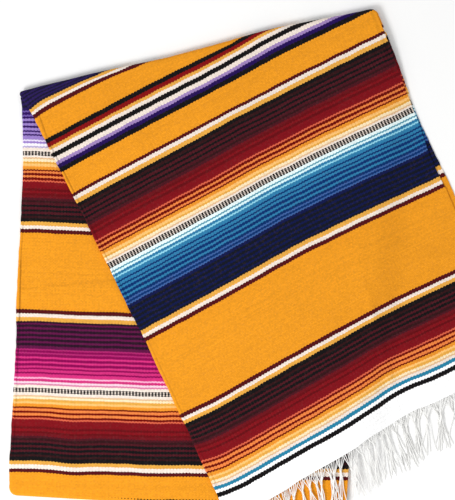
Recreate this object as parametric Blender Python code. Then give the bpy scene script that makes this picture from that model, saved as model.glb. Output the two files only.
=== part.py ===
"""A striped serape blanket, folded lengthwise and crosswise and laid flat.

The blanket is doubled lengthwise, so both arms have a rolled fold on the left and two selvages on
the right. It is then folded over along its top edge at an angle: the upper arm swings down to the
right across the lower arm. The lower arm's bottom edge is one more fold, and the rest of the
blanket lies doubled below it. Metres, +Z up, the photo's top is +Y, the blanket rests on z = 0.
"""
import math
import random

import bmesh
import bpy
from mathutils import Vector

MM = 0.001

# The cloth and how its layers lie on each other
CLOTH = 2.0 * MM            # thickness of the weave
GAP = 0.3 * MM              # between layers that touch
LOWER_BACK_BOTTOM = 4.6 * MM    # lower arm's lower layer
LOWER_FACE_BOTTOM = 7.0 * MM    # lower arm's upper layer
LOWER_FACE_TOP = LOWER_FACE_BOTTOM + CLOTH
BED_ON_LOWER_ARM = 9.8 * MM     # underside of the upper arm where it lies on the lower one

# Folds: how far the cloth rolls outward, and how much it swells
LENGTH_ROLL = 4.5 * MM
CROSS_ROLL = 6.0 * MM
BOTTOM_ROLL = 6.5 * MM
UPPER_SWELL = 0.8 * MM
LOWER_SWELL = 0.3 * MM
SWELL_REACH = 16 * MM
ROLL_END = math.radians(150)
ROLL_RINGS = 4
CORNER_FANS = 4

# The left end of the top fold, from the middle of the footprint. All plans are drawn from it.
FOLD_CORNER = Vector((-430.25, 334.4, 0)) * MM

# The upper arm, turned about the left end of the top fold
ARM_TURN = math.radians(26.3)
TOP_FOLD_TURN = math.radians(13.4)
UPPER_WIDTH = 612 * MM
UPPER_LENGTH = 803 * MM

# How the upper arm comes down from the lower one onto the surface
DROP_START = 16 * MM
DROP_WIDTH = 60 * MM

# Ripples in the upper arm's free end
RIPPLE = 1.6 * MM
RIPPLE_LENGTH = 210 * MM
RIPPLE_PHASE = 0.9
RIPPLE_FROM = 560 * MM

# Fringe
FRINGE_STRIP = 5 * MM
FRINGE_THICK = 1.5 * MM
FRINGE_LOCKS = 21
FRINGE_LENGTH = 92 * MM
LOCK_CLEARANCE = 0.7 * MM
FLOOR_CLEARANCE = 0.5 * MM
LOCK_LEAN = math.radians(17)    # the locks hang this far to the left of the arm's own direction
LOCK_SWAY = 2.2 * MM
SHORTEST_LOCK = 0.9         # of the fringe's length
ROOT_SHARE = 0.58           # of the space between locks
UNDER_FRINGE_SHIFT = 13 * MM    # the under layer's locks show between the upper ones
SEED = 11

# A lock from its root to its tip: it narrows to a knot and hangs on below it
LOCK_RINGS = [
    # part of the length, width, thickness, part of the way down
    (0.12, 9.0, 1.3, 0.10),
    (0.26, 3.6, 1.4, 0.42),
    (0.32, 3.8, 1.8, 0.60),
    (0.62, 2.8, 1.3, 0.96),
    (1.00, 3.4, 1.0, 1.00),
]

# Grid cells of each stretch: across, along
UPPER_CELLS = (22, 30)
LOWER_CELLS = (12, 14)

# Top fold: distance from its left end, how far it bows out
TOP_FOLD = [
    # along, out
    (0, 0.0),
    (60, 1.2),
    (147, 1.2),
    (193, -0.2),
    (250, -1.2),
    (320, 0.4),
    (404, 4.4),
    (455, 5.6),
    (508, 3.8),
    (560, 1.6),
    (612, 0.0),
]

# Upper arm's left fold line: distance from the top fold, offset to the right
UPPER_LEFT = [
    # along, offset
    (0, 0.0),
    (45, 4.6),
    (190, 6.0),
    (410, 7.4),
    (575, 5.3),
    (730, 1.7),
    (830, -1.0),
]

# Upper arm's right edges: selvage of the face and of the layer under it
UPPER_RIGHT = [
    # along, face, under layer
    (100, 612, 614),
    (190, 607, 610),
    (256, 600, 604),
    (316, 592, 597),
    (398, 586, 594),
    (470, 584, 594),
    (560, 581, 590),
    (700, 579, 586),
    (830, 578, 584),
]

# Free end of the upper arm: how far it runs past, or stops short of, its length
UPPER_END = [
    # across, extra
    (0, 13.0),
    (110, 8.0),
    (137, 4.0),
    (240, -2.5),
    (275, -8.0),
    (308, -10.5),
    (362, -15.5),
    (411, -12.0),
    (460, -12.0),
    (600, -8.0),
]

# Lower arm's left fold line and right selvage: distance below the top fold's left end
LOWER_SIDES = [
    # down, left, right
    (-140, 0, 614),
    (0, 2, 606),
    (40, 6, 604),
    (100, 8, 600),
    (190, 6, 595),
    (290, 0, 589),
    (370, -4, 584),
    (430, -4, 580),
    (525, -9, 573),
    (620, -14, 567),
    (700, -16, 562),
]
LOWER_END_LEFT = 689 * MM
LOWER_END_RIGHT = 722 * MM

# Hidden layers, from the surface up: how far each level stays inside the lower arm's outline
HIDDEN_LEVELS = [
    # height, left, top, right, bottom
    (0.00, 4.2, 12.0, 3.6, 9.0),
    (0.40, 3.0, 10.8, 2.2, 8.0),
    (1.10, 2.6, 10.2, 1.6, 7.6),
    (1.80, 3.2, 10.8, 2.2, 8.0),
    (2.15, 4.8, 12.4, 4.6, 9.2),
    (2.50, 3.6, 11.0, 6.4, 8.0),
    (3.20, 3.2, 10.4, 5.6, 7.6),
    (3.90, 3.8, 11.0, 6.2, 8.2),
    (4.30, 5.6, 12.6, 8.0, 9.4),
    (4.70, 5.8, 8.4, 3.4, 8.6),
    (5.60, 5.4, 7.4, 2.4, 7.6),
    (6.40, 5.8, 7.8, 3.0, 8.0),
    (6.70, 7.2, 9.2, 4.4, 9.4),
]
HIDDEN_CORNER = 9 * MM
HIDDEN_SIDE_POINTS = 9
HIDDEN_CORNER_POINTS = 3

# Colours from the cloth: base colour, roughness
ORANGE = ((0.90, 0.36, 0.03), 0.95)
MAROON = ((0.12, 0.02, 0.04), 0.95)
BLUE = ((0.03, 0.12, 0.28), 0.95)
WHITE = ((0.90, 0.87, 0.80), 0.95)


def clear_scene():
    for obj in list(bpy.data.objects):
        bpy.data.objects.remove(obj, do_unlink=True)


def smoothstep(value, low, high):
    t = min(1.0, max(0.0, (value - low) / (high - low)))
    return t * t * (3 - 2 * t)


def curve_at(rows, place, column=1):
    """A smooth curve through a table's rows, whose numbers are millimetres."""
    place = place / MM
    last = len(rows) - 1
    if place <= rows[0][0]:
        return rows[0][column] * MM
    if place >= rows[last][0]:
        return rows[last][column] * MM
    i = max(k for k in range(last) if rows[k][0] <= place)

    def slope(k):
        a, b = rows[max(0, k - 1)], rows[min(last, k + 1)]
        return (b[column] - a[column]) / (b[0] - a[0])

    step = rows[i + 1][0] - rows[i][0]
    t = (place - rows[i][0]) / step
    start, end = rows[i][column], rows[i + 1][column]
    value = (
        (2 * t**3 - 3 * t**2 + 1) * start
        + (t**3 - 2 * t**2 + t) * step * slope(i)
        + (3 * t**2 - 2 * t**3) * end
        + (t**3 - t**2) * step * slope(i + 1)
    )
    return value * MM


def direction(angle):
    return Vector((math.cos(angle), math.sin(angle)))


FOLD_ALONG = direction(TOP_FOLD_TURN)
FOLD_OUT = direction(TOP_FOLD_TURN + math.pi / 2)
UPPER_ACROSS = direction(ARM_TURN)
UPPER_DOWN = direction(ARM_TURN - math.pi / 2)
LOCK_DOWN = direction(ARM_TURN - math.pi / 2 - LOCK_LEAN)


def material(name, look):
    colour, roughness = look
    mat = bpy.data.materials.new(name)
    mat.use_nodes = True
    shader = mat.node_tree.nodes["Principled BSDF"]
    shader.inputs["Base Color"].default_value = (*colour, 1)
    shader.inputs["Roughness"].default_value = roughness
    shader.inputs["Metallic"].default_value = 0.0
    return mat


# Outlines on the surface


def fold_line(along, inset=0.0):
    """A point on the top fold's outline, or inside it by inset."""
    return FOLD_ALONG * along + FOLD_OUT * (curve_at(TOP_FOLD, along) - inset)


def upper_point(across, along):
    return UPPER_ACROSS * across + UPPER_DOWN * along


def upper_start(across, inset):
    """How far down the arm the top fold lies, for a place across it."""
    along_fold = across / math.cos(ARM_TURN - TOP_FOLD_TURN)
    start = fold_line(along_fold, inset)
    return start.dot(UPPER_DOWN)


def upper_end(across):
    return UPPER_LENGTH + curve_at(UPPER_END, across)


def lower_left(down):
    return curve_at(LOWER_SIDES, down, 1)


def lower_right(down):
    return curve_at(LOWER_SIDES, down, 2)


def lower_end(across):
    part = across / UPPER_WIDTH
    return LOWER_END_LEFT + (LOWER_END_RIGHT - LOWER_END_LEFT) * part


def outside_lower_arm(point):
    """Distance outside the lower arm's right and bottom edges, 0 or less within them."""
    over_right = point.x - lower_right(-point.y)
    over_bottom = -point.y - lower_end(point.x)
    if over_right > 0 and over_bottom > 0:
        return math.hypot(over_right, over_bottom)
    return max(over_right, over_bottom)


def bed(point):
    """Height of what the upper arm lies on."""
    drop = smoothstep(outside_lower_arm(point), DROP_START, DROP_START + DROP_WIDTH)
    return BED_ON_LOWER_ARM * (1 - drop)


def ripple(across, along):
    wave = 0.5 + 0.5 * math.sin(2 * math.pi * across / RIPPLE_LENGTH + RIPPLE_PHASE)
    return RIPPLE * wave * smoothstep(along, RIPPLE_FROM, UPPER_LENGTH)


def upper_face_height(across, along):
    """Top of the upper arm's face."""
    point = upper_point(across, along)
    from_left = across - curve_at(UPPER_LEFT, along) - LENGTH_ROLL
    from_top = along - upper_start(across, CROSS_ROLL)
    swell = max(
        1 - smoothstep(from_left, 0, SWELL_REACH),
        1 - smoothstep(from_top, 0, SWELL_REACH),
    )
    lift = ripple(across, along) + UPPER_SWELL * swell
    return bed(point) + 2 * CLOTH + GAP + lift


# Solids


def solid_from(name, points, faces, look):
    mesh = bpy.data.meshes.new(name)
    mesh.from_pydata([tuple(p) for p in points], [], faces)
    work = bmesh.new()
    work.from_mesh(mesh)
    bmesh.ops.recalc_face_normals(work, faces=work.faces)
    work.to_mesh(mesh)
    work.free()
    mesh.shade_smooth()
    mesh.set_sharp_from_angle(angle=math.radians(50))
    mesh.materials.append(material(name, look))
    obj = bpy.data.objects.new(name, mesh)
    bpy.context.collection.objects.link(obj)
    return obj


def wall(name, outer, inner, faces, look):
    """A cloth wall from its outer points, its inner points and the faces they share.

    The faces are cut into triangles the same way on both sides and on every layer, so that
    layers which follow one another keep their gap everywhere.
    """
    count = len(outer)
    sides = {edge for face in faces for edge in zip(face, face[1:] + face[:1])}
    rim = [(a, b) for a, b in sides if (b, a) not in sides]
    triangles = [(face[0], face[k], face[k + 1]) for face in faces for k in range(1, len(face) - 1)]
    shell = list(triangles)
    shell += [tuple(v + count for v in reversed(triangle)) for triangle in triangles]
    shell += [(b, a, a + count, b + count) for a, b in sorted(rim)]
    return solid_from(name, outer + inner, shell, look)


class Patch:
    """Outer and inner points of a cloth wall, and the faces between them."""

    def __init__(self):
        self.outer = []
        self.inner = []
        self.faces = []

    def point(self, place, top, thickness=CLOTH):
        self.outer.append(Vector((place.x, place.y, top)))
        self.inner.append(Vector((place.x, place.y, top - thickness)))
        return len(self.outer) - 1

    def pair(self, outer, inner):
        self.outer.append(outer)
        self.inner.append(inner)
        return len(self.outer) - 1

    def grid(self, rows):
        for upper, lower in zip(rows, rows[1:]):
            for i in range(len(upper) - 1):
                self.faces.append((upper[i], lower[i], lower[i + 1], upper[i + 1]))

    def roll(self, stations):
        """Cloth rolled down over an edge. A station is (point, outward, reach, half height)."""
        columns = []
        for start, outward, reach, half in stations:
            base = self.outer[start]
            column = [start]
            for ring in range(1, ROLL_RINGS + 1):
                angle = ROLL_END * ring / ROLL_RINGS
                out = math.sin(angle)
                down = half * (1 - math.cos(angle))
                outer = base + (outward * reach * out).to_3d() - Vector((0, 0, down))
                down_in = CLOTH + (half - CLOTH) * (1 - math.cos(angle))
                reach_in = max(reach - CLOTH, 0.4 * CLOTH)
                inner = base + (outward * reach_in * out).to_3d() - Vector((0, 0, down_in))
                column.append(self.pair(outer, inner))
            columns.append(column)
        for left, right in zip(columns, columns[1:]):
            for k in range(ROLL_RINGS):
                face = (left[k], right[k], right[k + 1], left[k + 1])
                self.faces.append(face if left[k] != right[k] else face[1:])


def fan(start, first, last, shapes):
    """Stations round a corner, from one outward direction to another."""
    a = math.atan2(first.y, first.x)
    b = math.atan2(last.y, last.x)
    turn = (b - a + math.pi) % (2 * math.pi) - math.pi
    (reach_a, half_a), (reach_b, half_b) = shapes
    stations = []
    for k in range(1, CORNER_FANS):
        part = k / CORNER_FANS
        blend = smoothstep(part, 0.15, 1.0)
        reach = reach_a + (reach_b - reach_a) * blend
        half = half_a + (half_b - half_a) * blend
        stations.append((start, direction(a + turn * part), reach, half))
    return stations


def upper_grid(left_inset, top_inset, with_under_edge=False):
    """Places across and along the upper arm, row by row from the top fold to the free end."""
    cells_across, cells_along = UPPER_CELLS
    end_left = curve_at(UPPER_LEFT, UPPER_LENGTH) + left_inset
    end_right = curve_at(UPPER_RIGHT, UPPER_LENGTH, 1)
    rows = []
    for j in range(cells_along + 1):
        row = []
        for i in range(cells_across + 1):
            part = i / cells_across
            start = upper_start(UPPER_WIDTH * part, top_inset)
            end = upper_end(end_left + (end_right - end_left) * part)
            along = start + (end - start) * j / cells_along
            left = curve_at(UPPER_LEFT, along) + left_inset
            right = curve_at(UPPER_RIGHT, along, 1)
            row.append((left + (right - left) * part, along))
        if with_under_edge:
            along = row[-1][1]
            row.append((curve_at(UPPER_RIGHT, along, 2), along))
        rows.append(row)
    return rows


def left_outward(rows, j):
    """Outward direction of the upper arm's left edge at a row."""
    above, below = rows[max(0, j - 1)][0], rows[min(len(rows) - 1, j + 1)][0]
    run = upper_point(*below) - upper_point(*above)
    return Vector((run.y, -run.x)).normalized()


def make_upper_face():
    patch = Patch()
    places = upper_grid(LENGTH_ROLL, CROSS_ROLL)
    rows = [
        [patch.point(upper_point(*place), upper_face_height(*place)) for place in row]
        for row in places
    ]
    patch.grid(rows)
    length_half = CLOTH + 0.5 * (GAP + UPPER_SWELL)
    cross_half = 0.5 * (patch.outer[rows[0][0]].z - LOWER_BACK_BOTTOM)
    stations = [
        (rows[j][0], left_outward(places, j), LENGTH_ROLL, length_half)
        for j in reversed(range(len(rows)))
    ]
    shapes = ((LENGTH_ROLL, length_half), (CROSS_ROLL, cross_half))
    stations += fan(rows[0][0], left_outward(places, 0), FOLD_OUT, shapes)
    stations += [(v, FOLD_OUT, CROSS_ROLL, cross_half) for v in rows[0]]
    patch.roll(stations)
    return wall("upper_arm_face", patch.outer, patch.inner, patch.faces, ORANGE)


def make_upper_under_layer():
    patch = Patch()
    places = upper_grid(LENGTH_ROLL + GAP, CROSS_ROLL, True)
    rows = [
        [
            patch.point(upper_point(*place), upper_face_height(*place) - CLOTH - GAP)
            for place in row
        ]
        for row in places
    ]
    patch.grid(rows)
    reach = CROSS_ROLL - CLOTH - GAP
    half = 0.5 * (patch.outer[rows[0][0]].z - LOWER_FACE_BOTTOM)
    patch.roll([(v, FOLD_OUT, reach, half) for v in rows[0]])
    return wall("upper_arm_under_layer", patch.outer, patch.inner, patch.faces, MAROON)


def lower_place(part_across, part_down, left_inset, top_inset, bottom_inset):
    """A place on the lower arm, as a plain point."""
    guess = UPPER_WIDTH * part_across
    top = -fold_line(guess / math.cos(TOP_FOLD_TURN), top_inset).y
    bottom = lower_end(guess) - bottom_inset
    down = top + (bottom - top) * part_down
    left = lower_left(down) + left_inset
    right = lower_right(down)
    return Vector((left + (right - left) * part_across, -down))


def make_lower_face():
    patch = Patch()
    across, along = LOWER_CELLS
    top_inset = CROSS_ROLL + 3 * GAP
    rows = []
    for j in range(along + 1):
        row = []
        for i in range(across + 1):
            place = lower_place(i / across, j / along, LENGTH_ROLL, top_inset, BOTTOM_ROLL)
            swell = 1.0 if i == 0 or j == along else 0.0
            row.append(patch.point(place, LOWER_FACE_TOP + LOWER_SWELL * swell))
        rows.append(row)
    patch.grid(rows)
    length_half = 0.5 * (LOWER_FACE_TOP + LOWER_SWELL - LOWER_BACK_BOTTOM)
    bottom_half = 0.5 * (LOWER_FACE_TOP + LOWER_SWELL)
    corner = patch.outer[rows[-1][0]]
    bottom_run = (patch.outer[rows[-1][-1]] - corner).to_2d().normalized()
    bottom_out = Vector((bottom_run.y, -bottom_run.x))
    left_out = Vector((-1, 0))
    stations = [(v, bottom_out, BOTTOM_ROLL, bottom_half) for v in reversed(rows[-1])]
    shapes = ((LENGTH_ROLL, length_half), (BOTTOM_ROLL, bottom_half))
    stations += list(reversed(fan(rows[-1][0], left_out, bottom_out, shapes)))
    stations += [(row[0], left_out, LENGTH_ROLL, length_half) for row in reversed(rows)]
    patch.roll(stations)
    return wall("lower_arm_face", patch.outer, patch.inner, patch.faces, BLUE)


def hidden_outline(left, top, right, bottom):
    """Points round the lower arm's outline, inside it by each side's inset, corners rounded."""

    def place(part_across, part_down):
        spot = lower_place(part_across, part_down, left, top, bottom)
        return spot - Vector((right * part_across, 0))

    width = UPPER_WIDTH
    length = LOWER_END_LEFT
    cut_across, cut_down = HIDDEN_CORNER / width, HIDDEN_CORNER / length
    arcs = [
        # centre across, centre down, start angle
        (cut_across, cut_down, 180),
        (1 - cut_across, cut_down, 270),
        (1 - cut_across, 1 - cut_down, 0),
        (cut_across, 1 - cut_down, 90),
    ]
    loop = []
    for k, (centre_across, centre_down, start) in enumerate(arcs):
        for n in range(HIDDEN_CORNER_POINTS + 1):
            angle = math.radians(start + 90 * n / HIDDEN_CORNER_POINTS)
            loop.append(
                (
                    centre_across + cut_across * math.cos(angle),
                    centre_down + cut_down * math.sin(angle),
                )
            )
        following = arcs[(k + 1) % len(arcs)]
        angle = math.radians(following[2])
        goal = (
            following[0] + cut_across * math.cos(angle),
            following[1] + cut_down * math.sin(angle),
        )
        begin = loop[-1]
        for n in range(1, HIDDEN_SIDE_POINTS):
            part = n / HIDDEN_SIDE_POINTS
            loop.append(
                (
                    begin[0] + (goal[0] - begin[0]) * part,
                    begin[1] + (goal[1] - begin[1]) * part,
                )
            )
    return [place(*spot) for spot in loop]


def make_hidden_layers():
    points = []
    faces = []
    rings = []
    for height, left, top, right, bottom in HIDDEN_LEVELS:
        outline = hidden_outline(left * MM, top * MM, right * MM, bottom * MM)
        rings.append(range(len(points), len(points) + len(outline)))
        points += [Vector((p.x, p.y, height * MM)) for p in outline]
    count = len(rings[0])
    for below, above in zip(rings, rings[1:]):
        for k in range(count):
            n = (k + 1) % count
            faces.append((below[k], below[n], above[n], above[k]))
    faces.append(tuple(rings[0]))
    faces.append(tuple(rings[-1]))
    return solid_from("hidden_layers", points, faces, MAROON)


def free_end(across):
    """Where the free end lies for a place across it, and the height of the face there."""
    edge = upper_grid(LENGTH_ROLL, CROSS_ROLL)[-1]
    k = max(0, min(len(edge) - 2, sum(1 for place in edge if place[0] < across) - 1))
    (a, a_along), (b, b_along) = edge[k], edge[k + 1]
    part = (across - a) / (b - a)
    along = a_along + (b_along - a_along) * part
    height_a, height_b = upper_face_height(a, a_along), upper_face_height(b, b_along)
    return along, height_a + (height_b - height_a) * part


def fringe(name, across_shift, drop_from_face, lift, look):
    """Locks fused to a narrow strip that lies just past the free end of one layer."""
    chance = random.Random(SEED + round(across_shift / MM))
    left_edge = curve_at(UPPER_LEFT, UPPER_LENGTH) + 2 * LENGTH_ROLL
    right_edge = curve_at(UPPER_RIGHT, UPPER_LENGTH, 1) - LENGTH_ROLL
    pitch = (right_edge - left_edge) / (FRINGE_LOCKS + 0.5)
    half_root = ROOT_SHARE * pitch / 2
    stations = [left_edge]
    for k in range(FRINGE_LOCKS):
        middle = left_edge + pitch * (k + 0.5) + across_shift
        stations += [middle - half_root, middle + half_root]
    stations.append(right_edge)
    points = []
    for across in stations:
        end, height = free_end(across)
        top = height - drop_from_face
        back = upper_point(across, end + 2 * GAP)
        front = upper_point(across, end + 2 * GAP + FRINGE_STRIP)
        for place in (back, front):
            points.append(Vector((place.x, place.y, top)))
            points.append(Vector((place.x, place.y, top - FRINGE_THICK)))
    # each station holds: back top, back bottom, front top, front bottom
    faces = [(0, 1, 3, 2)]
    last = 4 * (len(stations) - 1)
    faces.append((last, last + 2, last + 3, last + 1))
    for s in range(len(stations) - 1):
        a, b = 4 * s, 4 * (s + 1)
        faces += [(a, a + 2, b + 2, b), (a + 1, b + 1, b + 3, a + 3), (a, b, b + 1, a + 1)]
        if s % 2 == 0:
            faces.append((a + 2, a + 3, b + 3, b + 2))
            continue
        faces += lock(points, (a + 2, a + 3, b + 3, b + 2), chance, lift)
    return solid_from(name, points, faces, look)


def lock(points, root, chance, lift):
    """One lock, from the four corners of its root to its tip. Adds its points, gives its faces."""
    start = sum((points[v] for v in root), Vector()) / 4
    sway = chance.uniform(-LOCK_SWAY, LOCK_SWAY)
    length = FRINGE_LENGTH * chance.uniform(SHORTEST_LOCK, 1.0)
    faces = []
    previous = root
    for part, width, thickness, fall in LOCK_RINGS:
        place = start.to_2d() + LOCK_DOWN * length * part + UPPER_ACROSS * sway * part
        ground = bed(place)
        rest = ground + (FLOOR_CLEARANCE if ground < MM else LOCK_CLEARANCE)
        settled = rest + lift * (1 - smoothstep(part, 0.35, 1.0)) + thickness * MM / 2
        centre = start.z + (settled - start.z) * fall
        ring = []
        corners = [(-1, 1), (-1, -1), (1, -1), (1, 1)]
        for side, up in corners:
            spot = place + UPPER_ACROSS * side * width * MM / 2
            ring.append(len(points))
            points.append(Vector((spot.x, spot.y, centre + up * thickness * MM / 2)))
        for k in range(4):
            n = (k + 1) % 4
            faces.append((previous[k], previous[n], ring[n], ring[k]))
        previous = ring
    faces.append(tuple(previous))
    return faces


def set_origin(objects):
    """Moves every piece so that the middle of the blanket's footprint is the origin."""
    for obj in objects:
        for vertex in obj.data.vertices:
            vertex.co += FOLD_CORNER


def build():
    clear_scene()
    layer_step = CLOTH + GAP
    pieces = [
        make_upper_face(),
        make_upper_under_layer(),
        make_lower_face(),
        make_hidden_layers(),
        fringe("fringe_upper", 0.0, 0.25 * MM, layer_step, WHITE),
        fringe("fringe_under", UNDER_FRINGE_SHIFT, layer_step + 0.25 * MM, 0.0, WHITE),
    ]
    set_origin(pieces)


build()
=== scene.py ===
"""A striped serape blanket, folded lengthwise and crosswise and laid flat: its looks.

Each stretch of cloth is a thin closed shell on its solid's form. Its UV map is called weave and
holds real places on the blanket, in metres: how far across it, and how far along it from the free
end. The cloth's material reads that map and works out every pick of the weft.
"""
import math
import random

import bmesh
import bpy
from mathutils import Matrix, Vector, noise


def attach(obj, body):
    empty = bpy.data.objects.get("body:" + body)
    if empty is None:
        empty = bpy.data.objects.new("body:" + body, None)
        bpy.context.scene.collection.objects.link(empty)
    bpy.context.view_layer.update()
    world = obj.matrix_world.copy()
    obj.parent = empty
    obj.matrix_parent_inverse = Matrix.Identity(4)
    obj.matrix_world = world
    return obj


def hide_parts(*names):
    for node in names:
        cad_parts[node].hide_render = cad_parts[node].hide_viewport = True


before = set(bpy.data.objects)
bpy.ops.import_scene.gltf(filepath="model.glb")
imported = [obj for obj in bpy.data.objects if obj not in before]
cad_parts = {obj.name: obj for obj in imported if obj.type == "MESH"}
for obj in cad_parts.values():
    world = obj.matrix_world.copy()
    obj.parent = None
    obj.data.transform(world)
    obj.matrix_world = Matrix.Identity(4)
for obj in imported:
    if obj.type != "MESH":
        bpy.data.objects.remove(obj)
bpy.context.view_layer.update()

MM = 0.001

# The cloth and how its layers lie on each other, as in the solids
CLOTH = 2.0 * MM
GAP = 0.3 * MM
LOWER_BACK_BOTTOM = 4.6 * MM
LOWER_FACE_BOTTOM = 7.0 * MM
LOWER_FACE_TOP = LOWER_FACE_BOTTOM + CLOTH
BED_ON_LOWER_ARM = 9.8 * MM

# Folds
LENGTH_ROLL = 4.5 * MM
CROSS_ROLL = 6.0 * MM
BOTTOM_ROLL = 6.5 * MM
UPPER_SWELL = 0.8 * MM
LOWER_SWELL = 0.3 * MM
SWELL_REACH = 16 * MM
ROLL_END = math.radians(168)
ROLL_RINGS = 12
CORNER_FANS = 12

# The left end of the top fold. All plans are drawn from it.
FOLD_CORNER = Vector((-430.25, 334.4, 0)) * MM

# The upper arm, turned about the left end of the top fold
ARM_TURN = math.radians(26.3)
TOP_FOLD_TURN = math.radians(13.4)
UPPER_WIDTH = 612 * MM
UPPER_LENGTH = 803 * MM
DROP_START = 16 * MM
DROP_WIDTH = 60 * MM
RIPPLE = 1.6 * MM
RIPPLE_LENGTH = 210 * MM
RIPPLE_PHASE = 0.9
RIPPLE_FROM = 560 * MM

# Cells of each stretch: across, along
UPPER_CELLS = (138, 186)
UNDER_CELLS = (110, 150)
LOWER_CELLS = (118, 150)
HIDDEN_CELLS = (90, 104)
FINE_BY_FOLD = [0.0, 1.0, 2.0, 3.0, 4.0, 5.0, 6.0, 7.5, 9.5, 12.0]
FINE_BY_EDGE = [3.0, 1.6, 1.0, 0.55, 0.2, 0.0]
EDGE_ROUND = 1.1 * MM       # how far in from a free edge the cloth thins to its rounded lip
EDGE_LEAST = 0.25           # of the cloth's thickness, at the lip itself

TOP_FOLD = [
    # along, out
    (0, 0.0),
    (60, 1.2),
    (147, 1.2),
    (193, -0.2),
    (250, -1.2),
    (320, 0.4),
    (404, 4.4),
    (455, 5.6),
    (508, 3.8),
    (560, 1.6),
    (612, 0.0),
]

UPPER_LEFT = [
    # along, offset
    (0, 0.0),
    (45, 4.6),
    (190, 6.0),
    (410, 7.4),
    (575, 5.3),
    (730, 1.7),
    (830, -1.0),
]

UPPER_RIGHT = [
    # along, face, under layer
    (100, 612, 614),
    (190, 607, 610),
    (256, 600, 604),
    (290, 597, 600.5),
    (316, 596, 597.2),
    (345, 594, 595.4),
    (372, 590, 595),
    (398, 586, 594),
    (470, 584, 594),
    (560, 581, 590),
    (700, 579, 586),
    (830, 578, 584),
]

UPPER_END = [
    # across, extra
    (0, 13.0),
    (110, 8.0),
    (137, 4.0),
    (240, -2.5),
    (275, -8.0),
    (308, -10.5),
    (362, -15.5),
    (411, -12.0),
    (460, -12.0),
    (600, -8.0),
]

LOWER_SIDES = [
    # down, left, right
    (-140, 0, 614),
    (0, 3.5, 606),
    (16, 6, 605.2),
    (40, 7.5, 604),
    (100, 8, 600),
    (190, 6, 595),
    (290, 0, 589),
    (370, -4, 584),
    (430, -4, 580),
    (525, -9, 573),
    (620, -14, 567),
    (700, -16, 562),
]
LOWER_END_LEFT = 689 * MM
LOWER_END_RIGHT = 722 * MM

# Layers below the lower arm's face: the sheet's bottom, and how far it stays inside the outline
HIDDEN_SHEETS = {
    # name: bottom, left, top, right, end
    "turned_lower": (0.0, 7.4, 10.4, 1.8, 7.6),
    "turned_upper": (2.3, 7.1, 10.4, 5.6, 7.6),
    "lower_back": (4.6, 5.6, 7.6, 2.6, 7.8),
}

CORNER_ROUND = 9 * MM       # where a fold meets a selvage or another fold
WOBBLE_SHORT = (0.9 * MM, 11 * MM)      # unevenness of the edges: size, length
WOBBLE_LONG = (1.3 * MM, 55 * MM)

# Soft creases of the upper arm, as the cloth lies over the lower arm's edge and at its free end
UPPER_CREASES = [
    # from across, from along, to across, to along, half width, height
    (548, 262, 452, 420, 17, 0.9),
    (452, 420, 330, 640, 15, 0.7),
    (330, 640, 282, 742, 14, 1.0),
    (388, 548, 336, 812, 11, 1.3),
    (415, 590, 392, 812, 13, 0.9),
    (150, 690, 128, 822, 12, 0.8),
    (250, 720, 262, 815, 11, 0.6),
    (22, 52, 30, 104, 7, 0.7),
    (34, 70, 62, 122, 8, 0.5),
    (70, 505, 210, 470, 16, 0.5),
    (300, 455, 470, 520, 18, 0.6),
    (500, 560, 572, 600, 15, 0.8),
    (470, 300, 585, 330, 13, 0.5),
    (120, 150, 250, 128, 15, 0.4),
    (520, 700, 560, 805, 14, 1.0),
]

LOWER_CREASES = [
    # from across, from down, to across, to down, half width, height
    (84, 520, 92, 700, 14, 0.8),
    (150, 560, 240, 690, 16, 0.5),
    (20, 326, 190, 312, 12, 0.35),
    (12, 140, 60, 165, 9, 0.4),
    (330, 600, 300, 700, 15, 0.6),
    (470, 540, 452, 705, 14, 0.7),
    (430, 180, 560, 240, 20, 0.3),
]

# Lines pressed into one face of the cloth
UPPER_PRESSED = [
    # from across, from along, to across, to along, half width, depth
    (16, 52, 10.8, 96, 2.1, 0.8),
    (10.8, 96, 11.6, 200, 2.1, 0.9),
    (11.6, 200, 13.2, 420, 2.2, 0.7),
    (13.2, 420, 7.5, 780, 2.2, 0.4),
    (604, 110, 596, 240, 2.4, 0.5),
]
LOWER_PRESSED = [
    # from across, from down, to across, to down, half width, depth
    (10.5, 190, 5.0, 286, 2.2, 0.7),
    (5.0, 286, 2.6, 388, 2.2, 1.1),
    (2.6, 388, -1.2, 480, 2.2, 1.1),
    (-1.2, 480, -6.5, 600, 2.2, 0.5),
    (4, 337, 84, 329, 3.0, 0.4),
    (84, 329, 190, 316, 3.0, 0.3),
]

CREASE_SHADE = 0.45         # painted shade: how much darker a pressed line is at a depth of one millimetre

# The weave. A pick is one line of weft, a warp the space between two warp ends.
PICK = 1.33 * MM
WARP = 2.77 * MM
INTERLOCK = 0.45            # how far a pick swells over a warp, as a part of itself
ODD_WIDER = 0.52            # odd picks show on more of the cloth's width than even ones
WAVE_STEEP = 1.7            # how steeply a pick swells and sinks between the warps
UNEVEN = 1.1 * MM           # how far the picks stray

# Where the upper arm's stripes lie: distance from the top fold to the free end of the weave
STRIPE_ORIGIN = 792.0 * MM

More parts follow.
